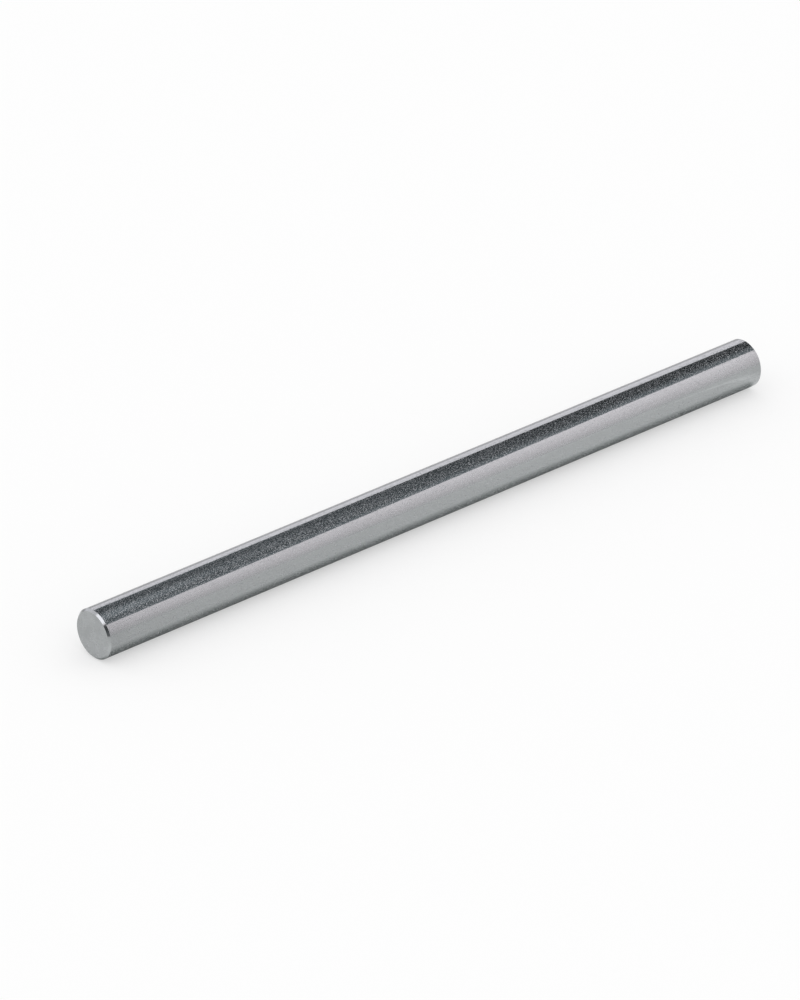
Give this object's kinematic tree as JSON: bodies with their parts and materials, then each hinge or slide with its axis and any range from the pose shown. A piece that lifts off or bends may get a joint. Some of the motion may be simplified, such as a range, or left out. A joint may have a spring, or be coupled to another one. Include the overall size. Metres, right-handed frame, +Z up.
{
  "type": "mounting rod",
  "caption": "Plain round steel rod with chamfered ends, a post that clamps and brackets fasten to.",
  "frame": {"origin": "on the surface that the rod lies on, under the middle of its length", "axes": "+X along the rod's axis, +Z up, +Y across the rod"},
  "size_m": [0.2, 0.012, 0.012],
  "materials": {
    "satin_steel": "bright steel with a fine satin grain"
  },
  "bodies": {
    "root": {"rod": "satin_steel"}
  },
  "joints": []
}
